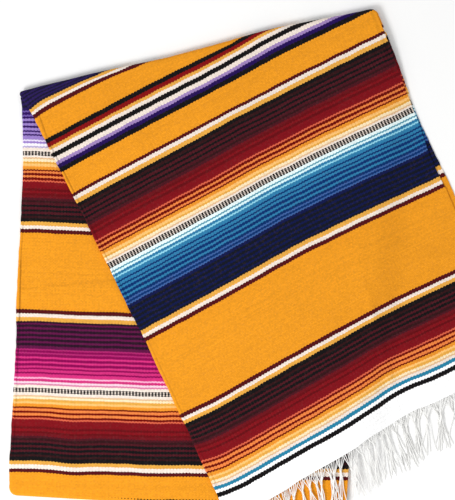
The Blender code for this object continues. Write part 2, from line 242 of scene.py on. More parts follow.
STRIPE_COLUMNS = (0, 60, 150, 240, 308, 360, 430, 560)
UPPER_DRIFT = [
    # along, then how far the stripes sag at each of STRIPE_COLUMNS across
    (115, 8.0, 6.0, 3.3, 1.4, 0.3, -2.3, -6.0, -4.0),
    (190, 11.3, 8.5, 5.8, 3.2, 0.5, 0.0, -1.7, -2.5),
    (250, 11.3, 8.9, 6.2, 3.3, 0.2, -0.4, -1.6, -0.8),
    (290, 12.5, 10.3, 7.6, 4.5, 1.0, 0.4, -0.5, 1.6),
    (328, 11.3, 9.3, 6.7, 3.4, -0.3, -1.0, -1.4, 1.5),
    (350, 11.2, 9.3, 6.6, 3.2, -0.6, -1.3, -1.5, 1.9),
    (450, 14.3, 12.0, 8.6, 4.0, 0.4, 0.2, 0.5, 3.8),
    (610, 11.4, 12.5, 8.0, 3.0, 0.2, -2.2, -3.3, -0.9),
    (690, 13.5, 13.9, 9.8, 4.5, 0.5, -4.5, -2.5, -1.5),
    (745, 18.5, 17.2, 11.8, 6.8, 0.0, -5.1, -1.2, -1.0),
]
FOLD_CROWD = 12 * MM        # the stripes crowd the top fold's left part by this
FOLD_CROWD_REACH = 8 * MM
FOLD_CROWD_FROM = 440 * MM
FOLD_CROWD_FULL = 330 * MM
TOP_HOOK = 8 * MM           # the stripes turn down at the fold, near the top
TOP_HOOK_REACH = 11 * MM
TOP_HOOK_FADES = (0.03, 0.09)    # from and to along, in metres
END_FLAT = 6 * MM           # and flatten there, near the free end
END_FLAT_REACH = 14 * MM
END_FLAT_GROWS = (0.62, 0.70)    # from and to along, in metres
DRIFT_REACH = 170 * MM      # a row of the drift table counts this far along

# How far the layer under the upper arm's face lies drawn up from it
UNDER_SHIFT = [
    # along, shift
    (0, 20.0),
    (190, 9.5),
    (317, 13.0),
    (430, 16.5),
    (800, 16.0),
]

# Where the lower arm's stripes lie, as distance along the blanket at each distance down
LOWER_START = 786.6 * MM
LOWER_TAKEN_UP = [
    # down, more of the blanket than a flat one
    (29, 1.0),
    (115, 1.2),
    (157, 1.4),
    (200, 1.8),
    (243, 4.4),
    (371, 4.6),
    (414, 5.4),
    (499, 5.9),
    (585, 5.4),
]
LOWER_DRIFT = [
    # across, sag
    (-20, 0.0),
    (22, 0.0),
    (45, 0.8),
    (72, 2.2),
    (123, 4.3),
    (174, 5.6),
    (226, 7.8),
    (303, 8.2),
    (554, 14.5),
    (620, 16.0),
]
LOWER_RIPPLE = 2.4 * MM     # a dip in the stripes near the bottom
LOWER_RIPPLE_AT = 92 * MM
LOWER_RIPPLE_WIDTH = 26 * MM
LOWER_RIPPLE_FROM = 500 * MM
LOWER_RIPPLE_TO = 600 * MM
BACK_SHIFT = 22 * MM        # the lower arm's lower layer is ahead of its face by this
BOTTOM_FOLD_ARC = 16 * MM   # cloth taken up by the bottom fold

# Fringe
FRINGE_LOCKS = 21
FRINGE_LENGTH = 90 * MM
FRINGE_LEAN = math.radians(17)
UNDER_FRINGE_SHIFT = 13 * MM
LOCK_STRANDS = 5
STRAND_RADIUS = 0.7 * MM
STRAND_SIDES = 6
STRAND_RINGS = 22
ROOT_INSIDE = 1.5 * MM      # how far the strands begin inside the cloth's edge
ROOT_STRAY = 2              # millimetres to either side
ABOVE_KNOT = 0.3            # of a strand's rings
KNOT_AT = (17 * MM, 29 * MM)
KNOT_STEPS = 28
KNOT_TURNS = 2.5
KNOT_RADIUS = 1.7 * MM
KNOT_LENGTH = 5.0 * MM
BUNDLE_RADIUS = 0.8 * MM
LOCK_SWAY = math.radians(11)
TASSEL_FAN = math.radians(15)
TASSEL_WAVE = 1.5 * MM
SHORTEST_STRAND = 0.8
REST_CLEARANCE = 0.5 * MM
SEED = 23


# Colours of the yarns, as red, green and blue from 0 to 255
YARN = {
    "white": (237, 223, 211),
    "bleached": (255, 255, 255),
    "ink": (16, 14, 16),
    "orange": (232, 150, 31),
    "gold": (225, 164, 68),
    "maroon": (80, 12, 18),
    "red": (132, 12, 14),
    "lavender": (157, 129, 186),
    "purple": (34, 10, 84),
    "sea": (36, 126, 160),
    "peach": (222, 182, 138),
    "cream": (246, 224, 184),
    "apricot": (247, 190, 112),
    "amber": (231, 145, 42),
    "rust": (106, 4, 0),
    "tangerine": (230, 126, 62),
    "coral": (212, 94, 66),
    "crimson": (124, 12, 22),
    "garnet": (98, 8, 16),
    "claret": (106, 14, 24),
    "wine": (72, 18, 28),
    "dusk": (48, 16, 20),
}

# The cool half of a shaded band has one layout, and three palettes
COOL = {
    "blue": {
        "white": (226, 242, 242),
        "line": (84, 150, 172),
        "pale": (214, 242, 246),
        "mid": (44, 120, 164),
        "light": (142, 208, 228),
        "dark": (4, 46, 104),
        "bright": (58, 94, 154),
        "deep": (11, 20, 70),
        "ink": (14, 18, 31),
    },
    "violet": {
        "line": (176, 164, 206),
        "pale": (240, 236, 246),
        "mid": (150, 124, 196),
        "light": (226, 216, 240),
        "dark": (46, 16, 92),
        "bright": (112, 86, 168),
        "deep": (38, 24, 84),
        "ink": (22, 18, 46),
    },
    "magenta": {
        "line": (212, 120, 160),
        "pale": (240, 206, 220),
        "mid": (206, 44, 120),
        "light": (244, 176, 206),
        "dark": (130, 2, 78),
        "bright": (172, 34, 106),
        "deep": (92, 16, 66),
        "ink": (38, 12, 34),
    },
}


def smoothstep(value, low, high):
    t = min(1.0, max(0.0, (value - low) / (high - low)))
    return t * t * (3 - 2 * t)


def curve_at(rows, place, column=1):
    """A smooth curve through a table's rows, whose numbers are millimetres."""
    place = place / MM
    last = len(rows) - 1
    if place <= rows[0][0]:
        return rows[0][column] * MM
    if place >= rows[last][0]:
        return rows[last][column] * MM
    i = 0
    while rows[i + 1][0] <= place:
        i += 1
    before = rows[max(0, i - 1)]
    start = rows[i]
    end = rows[i + 1]
    after = rows[min(last, i + 2)]
    step = end[0] - start[0]
    start_slope = (end[column] - before[column]) / (end[0] - before[0])
    end_slope = (after[column] - start[column]) / (after[0] - start[0])
    t = (place - start[0]) / step
    value = (
        (2 * t**3 - 3 * t**2 + 1) * start[column]
        + (t**3 - 2 * t**2 + t) * step * start_slope
        + (3 * t**2 - 2 * t**3) * end[column]
        + (t**3 - t**2) * step * end_slope
    )
    return value * MM


def direction(angle):
    return Vector((math.cos(angle), math.sin(angle)))


FOLD_ALONG = direction(TOP_FOLD_TURN)
FOLD_OUT = direction(TOP_FOLD_TURN + math.pi / 2)
UPPER_ACROSS = direction(ARM_TURN)
UPPER_DOWN = direction(ARM_TURN - math.pi / 2)
LOWER_ACROSS = Vector((1, 0))
LOWER_DOWN = Vector((0, -1))


# Outlines on the surface


def fold_line(along, inset=0.0):
    out = curve_at(TOP_FOLD, along) + 0.5 * wobble(along, 0)
    return FOLD_ALONG * along + FOLD_OUT * (out - inset)


def upper_point(across, along):
    return UPPER_ACROSS * across + UPPER_DOWN * along


def upper_start(across, inset):
    """How far down the arm the top fold lies, for a place across it."""
    along_fold = across / math.cos(ARM_TURN - TOP_FOLD_TURN)
    return fold_line(along_fold, inset).dot(UPPER_DOWN)


def upper_end(across):
    return UPPER_LENGTH + curve_at(UPPER_END, across)


def wobble(place, edge):
    """How far an edge strays from its plan, for a place along it. Each edge has its own number."""
    total = 0.0
    for size, length in (WOBBLE_SHORT, WOBBLE_LONG):
        total += size * noise.noise(Vector((place / length, 7.3 * edge, 0)))
    return total


def corner_inset(distance):
    """How far a rounded corner lies inside a square one, at a distance from its end."""
    rest = max(0.0, CORNER_ROUND - distance)
    return CORNER_ROUND - math.sqrt(CORNER_ROUND**2 - min(rest, CORNER_ROUND)**2)


def upper_left(along):
    return curve_at(UPPER_LEFT, along) + wobble(along, 1)


def upper_right(along, column):
    return curve_at(UPPER_RIGHT, along, column) + wobble(along, 1 + column)


def lower_left(down):
    return curve_at(LOWER_SIDES, down, 1) + wobble(down, 4)


def lower_right(down):
    return curve_at(LOWER_SIDES, down, 2)


def lower_end(across):
    return LOWER_END_LEFT + (LOWER_END_RIGHT - LOWER_END_LEFT) * across / UPPER_WIDTH


def outside_lower_arm(point):
    """Distance outside the lower arm's right and bottom edges, 0 or less within them."""
    over_right = point.x - lower_right(-point.y)
    over_bottom = -point.y - lower_end(point.x)
    if over_right > 0 and over_bottom > 0:
        return math.hypot(over_right, over_bottom)
    return max(over_right, over_bottom)


def bed(point):
    """Height of what the upper arm lies on."""
    drop = smoothstep(outside_lower_arm(point), DROP_START, DROP_START + DROP_WIDTH)
    return BED_ON_LOWER_ARM * (1 - drop)


# Creases


def line_relief(rows, across, along):
    """The height at a place of soft lines that fade at both ends."""
    total = 0.0
    x, y = across / MM, along / MM
    for x0, y0, x1, y1, width, height in rows:
        dx, dy = x1 - x0, y1 - y0
        length = math.hypot(dx, dy)
        part = ((x - x0) * dx + (y - y0) * dy) / length
        off = abs((x - x0) * dy - (y - y0) * dx) / length
        fade = 1.6 * width
        if off >= width or part <= -fade or part >= length + fade:
            continue
        ends = smoothstep(part, -fade, fade) * (1 - smoothstep(part, length - fade, length + fade))
        total += height * ends * (0.5 + 0.5 * math.cos(math.pi * off / width))
    return total * MM


def upper_face_height(across, along):
    """Top of the upper arm's face."""
    point = upper_point(across, along)
    from_left = across - curve_at(UPPER_LEFT, along) - LENGTH_ROLL
    from_top = along - upper_start(across, CROSS_ROLL)
    swell = max(
        1 - smoothstep(from_left, 0, SWELL_REACH),
        1 - smoothstep(from_top, 0, SWELL_REACH),
    )
    wave = 0.5 + 0.5 * math.sin(2 * math.pi * across / RIPPLE_LENGTH + RIPPLE_PHASE)
    lift = RIPPLE * wave * smoothstep(along, RIPPLE_FROM, UPPER_LENGTH) + UPPER_SWELL * swell
    lift += line_relief(UPPER_CREASES, across, along)
    return bed(point) + 2 * CLOTH + GAP + lift


# Places in the weave


def upper_weave(across, along):
    """How far across and along the blanket a place on the upper arm's face is."""
    rows = [
        (row[0], curve_at(list(zip(STRIPE_COLUMNS, row[1:])), across) / MM)
        for row in UPPER_DRIFT
        if abs(row[0] * MM - along) < DRIFT_REACH
    ]
    if not rows:
        row = UPPER_DRIFT[-1] if along > 0.4 else UPPER_DRIFT[0]
        rows = [(row[0], curve_at(list(zip(STRIPE_COLUMNS, row[1:])), across) / MM)]
    drift = curve_at(rows, along) if len(rows) > 1 else rows[0][1] * MM
    from_left = max(0.0, across - curve_at(UPPER_LEFT, along))
    hook = TOP_HOOK * math.exp(-from_left / TOP_HOOK_REACH)
    drift += hook * (1 - smoothstep(along, *TOP_HOOK_FADES))
    flat = END_FLAT * math.exp(-from_left / END_FLAT_REACH)
    drift -= flat * smoothstep(along, *END_FLAT_GROWS)
    from_top = max(0.0, along - upper_start(across, 0.0))
    crowd = FOLD_CROWD * (1 - smoothstep(across, FOLD_CROWD_FULL, FOLD_CROWD_FROM))
    drift += crowd * math.exp(-from_top / FOLD_CROWD_REACH)
    return across, STRIPE_ORIGIN - (along - drift)


def under_weave(across, along):
    u, v = upper_weave(across, along)
    return u, v - curve_at(UNDER_SHIFT, along)


def lower_weave(across, down):
    packed = curve_at(LOWER_TAKEN_UP, down)
    dip = math.exp(-(((across - LOWER_RIPPLE_AT) / LOWER_RIPPLE_WIDTH) ** 2))
    dip *= LOWER_RIPPLE * smoothstep(down, LOWER_RIPPLE_FROM, LOWER_RIPPLE_TO)
    return across, LOWER_START + down + packed - curve_at(LOWER_DRIFT, across) - dip


def back_weave(across, down):
    u, v = lower_weave(across, down)
    return u, v + BACK_SHIFT


def turned_weave(across, down):
    """The cloth turned under at the bottom fold runs back up below the lower arm."""
    u, v = lower_weave(across, lower_end(across))
    return u, v + BOTTOM_FOLD_ARC + lower_end(across) - down


# Cloth shells


class Shell:
    """A cloth wall: its outer and inner points, their places in the weave, and its faces."""

    def __init__(self, across, down):
        self.across = across
        self.down = down
        self.outer = []
        self.inner = []
        self.weave = []
        self.pressed = []
        self.faces = []

    def add(self, outer, inner, weave, pressed=0.0):
        self.outer.append(outer)
        self.inner.append(inner)
        self.weave.append(weave)
        self.pressed.append(pressed)
        return len(self.outer) - 1

    def point(self, place, top, weave, thickness=CLOTH, pressed=0.0):
        """A point of flat cloth. Thinner cloth thins on both sides, pressed cloth on its face."""
        thin = (CLOTH - thickness) / 2
        outer = Vector((place.x, place.y, top - thin - pressed))
        inner = Vector((place.x, place.y, top - CLOTH + thin))
        return self.add(outer, inner, weave, pressed)

    def grid(self, rows):
        for upper, lower in zip(rows, rows[1:]):
            for i in range(len(upper) - 1):
                self.faces.append((upper[i], lower[i], lower[i + 1], upper[i + 1]))

    def roll(self, stations):
        """Cloth rolled down over an edge. A station is (point, outward, reach, half height)."""
        columns = []
        for start, outward, reach, half in stations:
            base = self.outer[start] + Vector((0, 0, self.pressed[start]))
            u, v = self.weave[start]
            column = [start]
            arc = 0.0
            before = self.outer[start]
            for ring in range(1, ROLL_RINGS + 1):
                angle = ROLL_END * ring / ROLL_RINGS
                out = math.sin(angle)
                pressed = self.pressed[start] * max(0.0, 1 - ring / 2)
                down = half * (1 - math.cos(angle)) + pressed
                outer = base + (outward * reach * out).to_3d() - Vector((0, 0, down))
                down_in = CLOTH + (half - CLOTH) * (1 - math.cos(angle))
                reach_in = max(reach - CLOTH, 0.4 * CLOTH)
                inner = base + (outward * reach_in * out).to_3d() - Vector((0, 0, down_in))
                arc += (outer - before).length
                before = outer
                weave = (u + arc * outward.dot(self.across), v - arc * outward.dot(self.down))
                column.append(self.add(outer, inner, weave, pressed))
            columns.append(column)
        for left, right in zip(columns, columns[1:]):
            for k in range(ROLL_RINGS):
                face = (left[k], right[k], right[k + 1], left[k + 1])
                self.faces.append(face if left[k] != right[k] else face[1:])

    def build(self, name, mat):
        count = len(self.outer)
        sides = {edge for face in self.faces for edge in zip(face, face[1:] + face[:1])}
        rim = [(a, b) for a, b in sides if (b, a) not in sides]
        shell = list(self.faces)
        shell += [tuple(v + count for v in reversed(face)) for face in self.faces]
        shell += [(b, a, a + count, b + count) for a, b in sorted(rim)]
        mesh = bpy.data.meshes.new(name)
        mesh.from_pydata([tuple(p) for p in self.outer + self.inner], [], shell)
        uv = mesh.uv_layers.new(name="weave")
        corners = [0] * len(mesh.loops)
        mesh.loops.foreach_get("vertex_index", corners)
        uv.data.foreach_set("uv", [x for v in corners for x in self.weave[v % count]])
        # The pressed depth, which the material turns into painted shade in the pressed lines
        crease = mesh.uv_layers.new(name="crease")
        depths = [self.pressed[v % count] / MM if v < count else 0.0 for v in corners]
        crease.data.foreach_set("uv", [x for depth in depths for x in (depth, 0.0)])
        return finish_mesh(name, mesh, mat)


def finish_mesh(name, mesh, mat):
    work = bmesh.new()
    work.from_mesh(mesh)
    bmesh.ops.recalc_face_normals(work, faces=work.faces)
    bmesh.ops.translate(work, verts=work.verts, vec=FOLD_CORNER)
    work.to_mesh(mesh)
    work.free()
    mesh.shade_smooth()
    mesh.materials.append(mat)
    obj = bpy.data.objects.new(name, mesh)
    bpy.context.collection.objects.link(obj)
    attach(obj, "root")
    return obj


def fan(start, first, last, shapes):
    """Stations round a corner, from one outward direction to another."""
    a = math.atan2(first.y, first.x)
    b = math.atan2(last.y, last.x)
    turn = (b - a + math.pi) % (2 * math.pi) - math.pi
    (reach_a, half_a), (reach_b, half_b) = shapes
    stations = []
    for k in range(1, CORNER_FANS):
        part = k / CORNER_FANS
        blend = smoothstep(part, 0.15, 1.0)
        reach = reach_a + (reach_b - reach_a) * blend
        half = half_a + (half_b - half_a) * blend
        stations.append((start, direction(a + turn * part), reach, half))
    return stations


def spread(cells, fine_start, fine_end):
    """Places from 0 to 1 along a line, as (part of the middle, offset from start, from end)."""
    places = [(0.0, distance * MM) for distance in fine_start]
    places += [(k / cells, 0.0) for k in range(1, cells)]
    places += [(1.0, -distance * MM) for distance in fine_end]
    return places


def place_between(start, end, place, fine_start, fine_end):
    """A place on the line from start to end: its middle lies between the two fine stretches."""
    part, offset = place
    if offset or part in (0.0, 1.0):
        return (start if part == 0.0 else end) + offset
    low = start + fine_start[-1] * MM
    high = end - fine_end[0] * MM
    return low + (high - low) * part


def lip(distance):
    """The cloth's thickness near a free edge."""
    part = min(1.0, max(0.0, distance / EDGE_ROUND))
    return CLOTH * max(EDGE_LEAST, math.sqrt(1 - (1 - part) ** 2))


def upper_places(left_inset, top_inset, right_column, cells):
    """Rows of places on the upper arm: across, along, and distance from the free edges."""
    across_places = spread(cells[0], FINE_BY_FOLD, FINE_BY_EDGE)
    along_places = spread(cells[1], FINE_BY_FOLD, FINE_BY_EDGE)
    end_left = curve_at(UPPER_LEFT, UPPER_LENGTH) + left_inset
    end_right = curve_at(UPPER_RIGHT, UPPER_LENGTH, right_column)
    rows = []
    for down in along_places:
        row = []
        for over in across_places:
            guess = place_between(end_left, end_right, over, FINE_BY_FOLD, FINE_BY_EDGE)
            part = (guess - end_left) / (end_right - end_left)
            start = upper_start(UPPER_WIDTH * part, top_inset)
            start += corner_inset(UPPER_WIDTH * (1 - part))
            end = upper_end(guess)
            along = place_between(start, end, down, FINE_BY_FOLD, FINE_BY_EDGE)
            left = upper_left(along) + left_inset
            right = upper_right(along, right_column)
            across = place_between(left, right, over, FINE_BY_FOLD, FINE_BY_EDGE)
            row.append((across, along, min(right - across, end - along)))
        rows.append(row)
    return rows


def left_outwards(points):
    """Outward directions along an arm's left edge, whose points run down the arm."""
    runs = [b - a for a, b in zip(points[:1] + points[:-1], points[1:] + points[-1:])]
    return [Vector((run.y, -run.x)).normalized() for run in runs]


def make_upper_face(mat):
    shell = Shell(UPPER_ACROSS, UPPER_DOWN)
    places = upper_places(LENGTH_ROLL, CROSS_ROLL, 1, UPPER_CELLS)
    rows = []
    for row in places:
        line = []
        for across, along, edge in row:
            top = upper_face_height(across, along)
            pressed = line_relief(UPPER_PRESSED, across, along)
            weave = upper_weave(across, along)
            line.append(shell.point(upper_point(across, along), top, weave, lip(edge), pressed))
        rows.append(line)
    shell.grid(rows)
    length_half = CLOTH + 0.5 * (GAP + UPPER_SWELL)
    cross_half = 0.5 * (shell.outer[rows[0][0]].z - LOWER_BACK_BOTTOM)
    outwards = left_outwards([upper_point(*row[0][:2]) for row in places])
    stations = [
        (row[0], outward, LENGTH_ROLL, length_half)
        for row, outward in zip(reversed(rows), reversed(outwards))
    ]
    shapes = ((LENGTH_ROLL, length_half), (CROSS_ROLL, cross_half))
    stations += fan(rows[0][0], outwards[0], FOLD_OUT, shapes)
    stations += [(v, FOLD_OUT, CROSS_ROLL, cross_half) for v in rows[0]]
    shell.roll(stations)
    return shell.build("upper_arm_cloth", mat)


def make_upper_under_layer(mat):
    shell = Shell(UPPER_ACROSS, UPPER_DOWN)
    rows = []
    for row in upper_places(LENGTH_ROLL + GAP, CROSS_ROLL, 2, UNDER_CELLS):
        line = []
        for across, along, edge in row:
            top = upper_face_height(across, along) - CLOTH - GAP
            weave = under_weave(across, along)
            line.append(shell.point(upper_point(across, along), top, weave, lip(edge)))
        rows.append(line)
    shell.grid(rows)
    reach = CROSS_ROLL - CLOTH - GAP
    half = 0.5 * (shell.outer[rows[0][0]].z - LOWER_FACE_BOTTOM)
    shell.roll([(v, FOLD_OUT, reach, half) for v in rows[0]])
    return shell.build("upper_under_cloth", mat)


def lower_places(left_inset, top_inset, right_inset, end_inset, cells, fine_end):
    """Rows of places on the lower arm: across, down, and distance from the right edge."""
    across_places = spread(cells[0], FINE_BY_FOLD, FINE_BY_EDGE)
    down_places = spread(cells[1], FINE_BY_FOLD, fine_end)
    rows = []
    for low in down_places:
        row = []
        for over in across_places:
            guess = place_between(0, UPPER_WIDTH, over, FINE_BY_FOLD, FINE_BY_EDGE)
            top = -fold_line(guess / math.cos(TOP_FOLD_TURN), top_inset).y
            top += corner_inset(UPPER_WIDTH - guess)
            end = lower_end(guess) - end_inset
            down = place_between(top, end, low, FINE_BY_FOLD, fine_end)
            left = lower_left(down) + left_inset + corner_inset(end - down)
            right = lower_right(down) - right_inset
            across = place_between(left, right, over, FINE_BY_FOLD, FINE_BY_EDGE)
            row.append((across, down, right - across))
        rows.append(row)
    return rows


def make_lower_face(mat):
    shell = Shell(LOWER_ACROSS, LOWER_DOWN)
    top_inset = CROSS_ROLL + 3 * GAP
    fine_end = FINE_BY_FOLD[::-1]
    places = lower_places(LENGTH_ROLL, top_inset, 0.0, BOTTOM_ROLL, LOWER_CELLS, fine_end)
    rows = []
    for row in places:
        line = []
        for across, down, edge in row:
            swell = LOWER_SWELL * (1 - smoothstep(across - lower_left(down) - LENGTH_ROLL, 0, 0.01))
            bottom = lower_end(across)
            swell = max(swell, LOWER_SWELL * smoothstep(down, bottom - 0.02, bottom))
            point = Vector((across, -down))
            covered = covered_by_upper(point)
            top = LOWER_FACE_TOP + swell + (1 - covered) * line_relief(LOWER_CREASES, across, down)
            pressed = line_relief(LOWER_PRESSED, across, down)
            line.append(shell.point(point, top, lower_weave(across, down), lip(edge), pressed))
        rows.append(line)
    shell.grid(rows)
    length_half = 0.5 * (LOWER_FACE_TOP + LOWER_SWELL - LOWER_BACK_BOTTOM)
    bottom_half = 0.5 * (LOWER_FACE_TOP + LOWER_SWELL)
    corner = shell.outer[rows[-1][0]]
    bottom_run = (shell.outer[rows[-1][-1]] - corner).to_2d().normalized()
    bottom_out = Vector((bottom_run.y, -bottom_run.x))
    left_out = Vector((-1, 0))
    outwards = left_outwards([Vector((row[0][0], -row[0][1])) for row in places])
    shapes = []
    for outward in outwards:
        turned = smoothstep(left_out.angle(outward) / left_out.angle(bottom_out), 0.15, 1.0)
        reach = LENGTH_ROLL + (BOTTOM_ROLL - LENGTH_ROLL) * turned
        shapes.append((reach, length_half + (bottom_half - length_half) * turned))
    stations = []
    for v in reversed(rows[-1]):
        half = min(bottom_half, 0.5 * (shell.outer[v].z + shell.pressed[v]))
        stations.append((v, bottom_out, BOTTOM_ROLL, half))
    corner_shapes = (shapes[-1], (BOTTOM_ROLL, bottom_half))
    stations += fan(rows[-1][0], outwards[-1], bottom_out, corner_shapes)[::-1]
    for row, outward, shape in zip(reversed(rows), reversed(outwards), reversed(shapes)):
        stations.append((row[0], outward, *shape))
    shell.roll(stations)
    return shell.build("lower_arm_cloth", mat)


def covered_by_upper(point):
    """1 where the upper arm lies on the lower one, 0 where the lower one shows."""
    across = point.dot(UPPER_ACROSS)
    along = point.dot(UPPER_DOWN)
    left = smoothstep(across - curve_at(UPPER_LEFT, along), -0.012, 0.0)
    end = 1 - smoothstep(along - upper_end(across), 0.0, 0.012)
    return left * end


def make_hidden_sheet(name, sheet, weave, mat, rolled=False):
    """One of the flat layers below the lower arm's face."""
    bottom, left, top, right, end = (value * MM for value in HIDDEN_SHEETS[sheet])
    shell = Shell(LOWER_ACROSS, LOWER_DOWN)
    rows = []
    for row in lower_places(left, top, right, end, HIDDEN_CELLS, FINE_BY_EDGE):
        line = []
        for across, down, edge in row:
            point = Vector((across, -down))
            line.append(shell.point(point, bottom + CLOTH, weave(across, down), lip(edge)))
        rows.append(line)
    shell.grid(rows)
    if rolled:
        half = 0.5 * (bottom + CLOTH)
        left_out = Vector((-1, 0))
        shell.roll([(row[0], left_out, LENGTH_ROLL, half) for row in reversed(rows)])
    return shell.build(name, mat)


# Fringe


class Strands:
    """Round strands in one mesh, with a UV map of their turn and length for the twist."""

    def __init__(self):
        self.points = []
        self.faces = []
        self.corners = []

    def tube(self, path, radii):
        sides = STRAND_SIDES
        rings = []
        length = 0.0
        lengths = []
        for k, spot in enumerate(path):
            run = path[min(k + 1, len(path) - 1)] - path[max(k - 1, 0)]
            run = run.normalized()
            side = run.cross(Vector((0, 0, 1)))
            if side.length < 1e-6:
                side = UPPER_ACROSS.to_3d()
            side.normalize()
            up = side.cross(run)
            if k:
                length += (spot - path[k - 1]).length
            lengths.append(length)
            ring = []
            for n in range(sides):
                angle = 2 * math.pi * n / sides
                ring.append(len(self.points))
                outward = side * math.cos(angle) + up * math.sin(angle)
                self.points.append(spot + outward * radii[k])
            rings.append(ring)
        for k in range(len(rings) - 1):
            for n in range(sides):
                m = (n + 1) % sides
                self.faces.append((rings[k][n], rings[k][m], rings[k + 1][m], rings[k + 1][n]))
                low, high = n / sides, (n + 1) / sides
                a, b = lengths[k], lengths[k + 1]
                self.corners.append(((low, a), (high, a), (high, b), (low, b)))
        for ring, at in ((rings[0], lengths[0]), (rings[-1], lengths[-1])):
            self.faces.append(tuple(ring))
            self.corners.append(tuple((n / sides, at) for n in range(sides)))

    def build(self, name, mat):
        mesh = bpy.data.meshes.new(name)
        mesh.from_pydata([tuple(p) for p in self.points], [], self.faces)
        uv = mesh.uv_layers.new(name="strand")
        uv.data.foreach_set("uv", [x for face in self.corners for corner in face for x in corner])
        return finish_mesh(name, mesh, mat)


def free_end(across):
    """Where the free end lies for a place across it, and the height of the face there."""
    along = upper_end(across)
    return along, upper_face_height(across, along)


def strand_height(start_height, place, part, lift):
    """Height of a lock's middle, from the cloth's edge down to what it lies on."""
    rest = bed(place) + REST_CLEARANCE + 1.5 * STRAND_RADIUS
    settled = rest + lift * (1 - smoothstep(part, 0.35, 1.0))
    return start_height + (settled - start_height) * smoothstep(part, 0.0, 0.6)


def make_fringe(name, across_shift, drop_from_face, lift, mat):
    chance = random.Random(SEED + round(across_shift / MM))
    strands = Strands()
    left_edge = curve_at(UPPER_LEFT, UPPER_LENGTH) + 2 * LENGTH_ROLL
    right_edge = curve_at(UPPER_RIGHT, UPPER_LENGTH, 1) - LENGTH_ROLL
    pitch = (right_edge - left_edge) / (FRINGE_LOCKS + 0.5)
    for k in range(FRINGE_LOCKS):
        middle = left_edge + pitch * (k + 0.5) + across_shift
        make_lock(strands, middle, pitch, drop_from_face, lift, chance)
    return strands.build(name, mat)


def make_lock(strands, middle, pitch, drop_from_face, lift, chance):
    """Warp ends drawn together into a knot, and hanging on below it as a tassel."""
    lean = ARM_TURN - math.pi / 2 - FRINGE_LEAN + chance.uniform(-LOCK_SWAY, LOCK_SWAY)
    down = direction(lean)
    side = direction(lean + math.pi / 2)
    end, face = free_end(middle)
    edge = upper_point(middle, end - ROOT_INSIDE)
    knot_at = chance.uniform(*KNOT_AT)
    knot = edge + down * knot_at
    start_height = face - drop_from_face
    right = curve_at(UPPER_RIGHT, UPPER_LENGTH, 1) - MM
    first_turn = chance.uniform(0, 2 * math.pi)

    def height_at(spot, distance):
        return strand_height(start_height, spot, distance / FRINGE_LENGTH, lift)

    for n in range(LOCK_STRANDS):
        offset = (n - (LOCK_STRANDS - 1) / 2) / LOCK_STRANDS
        stray = chance.uniform(-ROOT_STRAY, ROOT_STRAY) * MM
        root_across = min(middle + offset * pitch + stray, right)
        root_end, root_face = free_end(root_across)
        root = upper_point(root_across, root_end - ROOT_INSIDE)
        turn = first_turn + 2 * math.pi * n / LOCK_STRANDS
        bundle = side * BUNDLE_RADIUS * math.cos(turn)
        bundle_up = BUNDLE_RADIUS * (1 + math.sin(turn))
        length = FRINGE_LENGTH * chance.uniform(SHORTEST_STRAND, 1.0) - knot_at
        fan_turn = lean - offset * 2 * TASSEL_FAN * chance.uniform(0.3, 1.3)
        waves = chance.uniform(0.5, 1.4)
        wave_size = chance.uniform(-TASSEL_WAVE, TASSEL_WAVE)
        path = []
        radii = []
        for step in range(STRAND_RINGS + 1):
            part = step / STRAND_RINGS
            if part < ABOVE_KNOT:
                drawn = part / ABOVE_KNOT
                spot = root.lerp(knot + bundle, drawn)
                height = height_at(spot, knot_at * drawn) + bundle_up * drawn
                height += (root_face - face) * (1 - drawn)
            else:
                loose = (part - ABOVE_KNOT) / (1 - ABOVE_KNOT)
                wave = wave_size * math.sin(2 * math.pi * waves * loose) * smoothstep(loose, 0, 0.4)
                spot = knot + bundle + direction(fan_turn) * length * loose + side * wave
                sunk = 1 - smoothstep(loose, 0.0, 0.45)
                height = height_at(spot, knot_at + length * loose) + bundle_up * sunk
            path.append(Vector((spot.x, spot.y, height)))
            radii.append(STRAND_RADIUS * (1.0 - 0.35 * smoothstep(part, 0.93, 1.0)))
        strands.tube(path, radii)

    height = height_at(knot, knot_at) + BUNDLE_RADIUS
    path = []
    for step in range(KNOT_STEPS + 1):
        part = step / KNOT_STEPS
        angle = 2 * math.pi * KNOT_TURNS * part + first_turn
        swell = KNOT_RADIUS * (0.8 + 0.3 * math.sin(math.pi * part))
        spot = knot + down * KNOT_LENGTH * (part - 0.5) + side * swell * math.cos(angle)
        path.append(Vector((spot.x, spot.y, height + 0.7 * swell * math.sin(angle))))
    strands.tube(path, [STRAND_RADIUS] * len(path))


# The stripes, from the blanket's free end to its other end, as (picks, yarn colour) in order

LINE = 3                    # picks of a plain narrow stripe


def checker(picks, first="ink"):
    """Picks of two colours in turn stand as upright bars: each shows on its own warps."""
    names = ("ink", "white") if first == "ink" else ("white", "ink")
    return [(1, YARN[names[k % 2]]) for k in range(picks)]


def warm_half():
    """From the light middle of a shaded band out to its dark edge."""
    light = [
        (3, "white"),
        (2, "peach"),
        (3, "cream"),
        (3, "gold"),
        (3, "apricot"),
        (4, "amber"),
        (2, "rust"),
        (3, "tangerine"),
        (3, "rust"),
        (3, "tangerine"),
        (3, "rust"),
        (2, "coral"),
    ]
    reds = [(3 * LINE, "crimson"), (LINE, "garnet"), (LINE, "crimson"), (LINE, "garnet")]
    reds += [(LINE, "claret"), (LINE, "wine"), (LINE, "dusk")]
    darks = [(LINE, "wine"), (LINE, "ink")] * 3 + [(LINE, "dusk"), (5, "ink")]
    return [(picks, YARN[name]) for picks, name in light + reds + darks]


